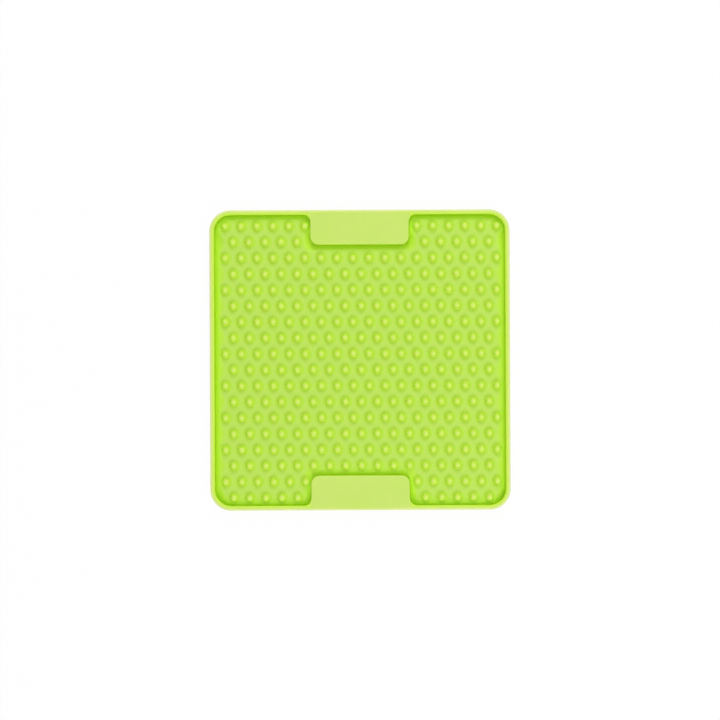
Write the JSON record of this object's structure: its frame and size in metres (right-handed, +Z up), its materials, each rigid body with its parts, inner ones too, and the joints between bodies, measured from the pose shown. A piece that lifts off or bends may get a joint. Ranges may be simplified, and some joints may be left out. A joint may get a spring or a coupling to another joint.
{
  "type": "lick mat",
  "caption": "Square lick mat: a firm rimmed tray with bare label plates and a soft pad of domed nubs in staggered rows that hold spread food.",
  "frame": {"origin": "on the surface that the mat lies on, under the middle of the mat", "axes": "+Z up out of the licking face, +Y towards the edge with the first row of nubs, +X to the right seen from above"},
  "size_m": [0.2, 0.2, 0.008],
  "materials": {
    "firm_tray": "satin moulded lime, smooth",
    "soft_pad": "satin moulded lime, soft"
  },
  "bodies": {
    "root": {"tray": "firm_tray", "lick_pad": "soft_pad", "nub_row_01": "soft_pad", "nub_row_02": "soft_pad", "nub_row_03": "soft_pad", "nub_row_04": "soft_pad", "nub_row_05": "soft_pad", "nub_row_06": "soft_pad", "nub_row_07": "soft_pad", "nub_row_08": "soft_pad", "nub_row_09": "soft_pad", "nub_row_10": "soft_pad", "nub_row_11": "soft_pad", "nub_row_12": "soft_pad", "nub_row_13": "soft_pad", "nub_row_14": "soft_pad", "nub_row_15": "soft_pad", "nub_row_16": "soft_pad", "nub_row_17": "soft_pad", "nub_row_18": "soft_pad"}
  },
  "joints": []
}
